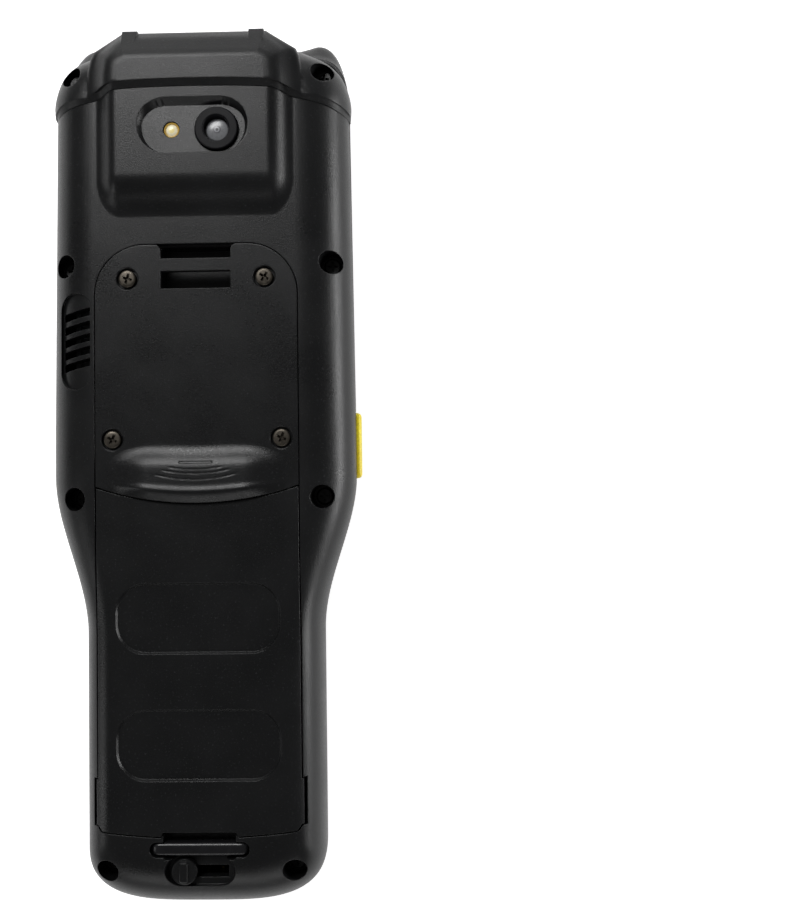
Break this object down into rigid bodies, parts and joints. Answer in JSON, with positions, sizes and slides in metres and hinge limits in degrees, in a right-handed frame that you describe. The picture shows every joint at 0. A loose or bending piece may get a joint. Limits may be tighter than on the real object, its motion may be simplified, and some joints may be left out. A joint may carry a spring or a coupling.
{
  "type": "portable barcode data terminal",
  "caption": "Handheld barcode data terminal with a display and keypad on the front, camera, screwed cover plate, hinged battery door, strap bars and side triggers.",
  "frame": {"origin": "under the middle of the outline, on the surface that the front rim lies on", "axes": "+Z out of the back, +Y towards the scan window, +X to the right of the picture"},
  "size_m": [0.0764, 0.2133, 0.0295],
  "materials": {
    "housing_plastic": "fine spark texture, satin",
    "black_rubber": "matte",
    "grey_rubber": "matte",
    "scan_glass": "polished dark red",
    "display_glass": "polished black",
    "lens_glass": "polished",
    "gloss_black": "gloss",
    "cast_grey": "satin",
    "led_amber": "clear amber",
    "copper": "satin",
    "gold": "polished",
    "bronze_screws": "dark oxide",
    "dark_screws": "black oxide",
    "inner_black": "matte",
    "lock_plastic": "satin",
    "battery_label": "satin wrap",
    "board_green": "solder mask",
    "lcd_frame": "satin",
    "switch_metal": "polished",
    "yellow_plastic": "satin",
    "red_key": "matte",
    "key_rubber": "matte"
  },
  "bodies": {
    "terminal": {"rear_housing": "housing_plastic", "front_housing": "housing_plastic", "top_cap": "housing_plastic", "cover_plate": "housing_plastic", "housing_gasket": "black_rubber", "keypad_mat": "grey_rubber", "scan_window": "scan_glass", "touch_glass": "display_glass", "camera_lens": "lens_glass", "camera_ring": "gloss_black", "strap_bar": "gloss_black", "camera_module": "gloss_black", "scan_engine": "cast_grey", "flash_led": "led_amber", "nfc_antenna": "copper", "battery_contacts": "gold", "charge_contacts": "gold", "cover_plate_screws": "bronze_screws", "housing_screws": "dark_screws", "cap_screws": "dark_screws", "speaker": "inner_black", "earpiece": "inner_black", "battery_pack": "battery_label", "main_board": "board_green", "keypad_board": "board_green", "lcd_module": "lcd_frame", "trigger_switches": "switch_metal"},
    "battery_door": {"battery_door": "housing_plastic"},
    "door_lock": {"door_lock": "lock_plastic"},
    "side_trigger_right": {"side_trigger_right": "yellow_plastic"},
    "side_trigger_left": {"side_trigger_left": "yellow_plastic"},
    "key_menu": {"key_menu": "key_rubber"},
    "key_home": {"key_home": "key_rubber"},
    "key_back": {"key_back": "key_rubber"},
    "key_up": {"key_up": "key_rubber"},
    "key_left": {"key_left": "key_rubber"},
    "key_scan": {"key_scan": "yellow_plastic"},
    "key_right": {"key_right": "key_rubber"},
    "key_down": {"key_down": "key_rubber"},
    "key_clear": {"key_clear": "key_rubber"},
    "key_power": {"key_power": "red_key"},
    "key_enter": {"key_enter": "key_rubber"},
    "key_1": {"key_1": "key_rubber"},
    "key_2": {"key_2": "key_rubber"},
    "key_3": {"key_3": "key_rubber"},
    "key_4": {"key_4": "key_rubber"},
    "key_5": {"key_5": "key_rubber"},
    "key_6": {"key_6": "key_rubber"},
    "key_7": {"key_7": "key_rubber"},
    "key_8": {"key_8": "key_rubber"},
    "key_9": {"key_9": "key_rubber"},
    "key_star": {"key_star": "key_rubber"},
    "key_0": {"key_0": "key_rubber"},
    "key_point": {"key_point": "key_rubber"}
  },
  "joints": [
    {"name": "battery_door_hinge", "type": "hinge", "parent": "terminal", "child": "battery_door", "pos_m": [0, -0.008, 0.0275], "axis": [-1, 0, 0], "range_deg": [0, 60]},
    {"name": "door_lock_slide", "type": "slide", "parent": "terminal", "child": "door_lock", "axis": [1, 0, 0], "range_m": [0, 0.0066]},
    {"name": "side_trigger_right_press", "type": "slide", "parent": "terminal", "child": "side_trigger_right", "axis": [-1, 0, 0], "range_m": [0, 0.0008], "stiffness_N_per_m": 800, "springref_m": -0.0006},
    {"name": "side_trigger_left_press", "type": "slide", "parent": "terminal", "child": "side_trigger_left", "axis": [1, 0, 0], "range_m": [0, 0.0008], "stiffness_N_per_m": 800, "springref_m": -0.0006},
    {"name": "key_menu_press", "type": "slide", "parent": "terminal", "child": "key_menu", "axis": [0, 0, 1], "range_m": [0, 0.0006], "stiffness_N_per_m": 600, "springref_m": -0.0006},
    {"name": "key_home_press", "type": "slide", "parent": "terminal", "child": "key_home", "axis": [0, 0, 1], "range_m": [0, 0.0006], "stiffness_N_per_m": 600, "springref_m": -0.0006},
    {"name": "key_back_press", "type": "slide", "parent": "terminal", "child": "key_back", "axis": [0, 0, 1], "range_m": [0, 0.0006], "stiffness_N_per_m": 600, "springref_m": -0.0006},
    {"name": "key_up_press", "type": "slide", "parent": "terminal", "child": "key_up", "axis": [0, 0, 1], "range_m": [0, 0.0006], "stiffness_N_per_m": 600, "springref_m": -0.0006},
    {"name": "key_left_press", "type": "slide", "parent": "terminal", "child": "key_left", "axis": [0, 0, 1], "range_m": [0, 0.0006], "stiffness_N_per_m": 600, "springref_m": -0.0006},
    {"name": "key_scan_press", "type": "slide", "parent": "terminal", "child": "key_scan", "axis": [0, 0, 1], "range_m": [0, 0.0006], "stiffness_N_per_m": 600, "springref_m": -0.0006},
    {"name": "key_right_press", "type": "slide", "parent": "terminal", "child": "key_right", "axis": [0, 0, 1], "range_m": [0, 0.0006], "stiffness_N_per_m": 600, "springref_m": -0.0006},
    {"name": "key_down_press", "type": "slide", "parent": "terminal", "child": "key_down", "axis": [0, 0, 1], "range_m": [0, 0.0006], "stiffness_N_per_m": 600, "springref_m": -0.0006},
    {"name": "key_clear_press", "type": "slide", "parent": "terminal", "child": "key_clear", "axis": [0, 0, 1], "range_m": [0, 0.0006], "stiffness_N_per_m": 600, "springref_m": -0.0006},
    {"name": "key_power_press", "type": "slide", "parent": "terminal", "child": "key_power", "axis": [0, 0, 1], "range_m": [0, 0.0006], "stiffness_N_per_m": 600, "springref_m": -0.0006},
    {"name": "key_enter_press", "type": "slide", "parent": "terminal", "child": "key_enter", "axis": [0, 0, 1], "range_m": [0, 0.0006], "stiffness_N_per_m": 600, "springref_m": -0.0006},
    {"name": "key_1_press", "type": "slide", "parent": "terminal", "child": "key_1", "axis": [0, 0, 1], "range_m": [0, 0.0006], "stiffness_N_per_m": 600, "springref_m": -0.0006},
    {"name": "key_2_press", "type": "slide", "parent": "terminal", "child": "key_2", "axis": [0, 0, 1], "range_m": [0, 0.0006], "stiffness_N_per_m": 600, "springref_m": -0.0006},
    {"name": "key_3_press", "type": "slide", "parent": "terminal", "child": "key_3", "axis": [0, 0, 1], "range_m": [0, 0.0006], "stiffness_N_per_m": 600, "springref_m": -0.0006},
    {"name": "key_4_press", "type": "slide", "parent": "terminal", "child": "key_4", "axis": [0, 0, 1], "range_m": [0, 0.0006], "stiffness_N_per_m": 600, "springref_m": -0.0006},
    {"name": "key_5_press", "type": "slide", "parent": "terminal", "child": "key_5", "axis": [0, 0, 1], "range_m": [0, 0.0006], "stiffness_N_per_m": 600, "springref_m": -0.0006},
    {"name": "key_6_press", "type": "slide", "parent": "terminal", "child": "key_6", "axis": [0, 0, 1], "range_m": [0, 0.0006], "stiffness_N_per_m": 600, "springref_m": -0.0006},
    {"name": "key_7_press", "type": "slide", "parent": "terminal", "child": "key_7", "axis": [0, 0, 1], "range_m": [0, 0.0006], "stiffness_N_per_m": 600, "springref_m": -0.0006},
    {"name": "key_8_press", "type": "slide", "parent": "terminal", "child": "key_8", "axis": [0, 0, 1], "range_m": [0, 0.0006], "stiffness_N_per_m": 600, "springref_m": -0.0006},
    {"name": "key_9_press", "type": "slide", "parent": "terminal", "child": "key_9", "axis": [0, 0, 1], "range_m": [0, 0.0006], "stiffness_N_per_m": 600, "springref_m": -0.0006},
    {"name": "key_star_press", "type": "slide", "parent": "terminal", "child": "key_star", "axis": [0, 0, 1], "range_m": [0, 0.0006], "stiffness_N_per_m": 600, "springref_m": -0.0006},
    {"name": "key_0_press", "type": "slide", "parent": "terminal", "child": "key_0", "axis": [0, 0, 1], "range_m": [0, 0.0006], "stiffness_N_per_m": 600, "springref_m": -0.0006},
    {"name": "key_point_press", "type": "slide", "parent": "terminal", "child": "key_point", "axis": [0, 0, 1], "range_m": [0, 0.0006], "stiffness_N_per_m": 600, "springref_m": -0.0006}
  ]
}
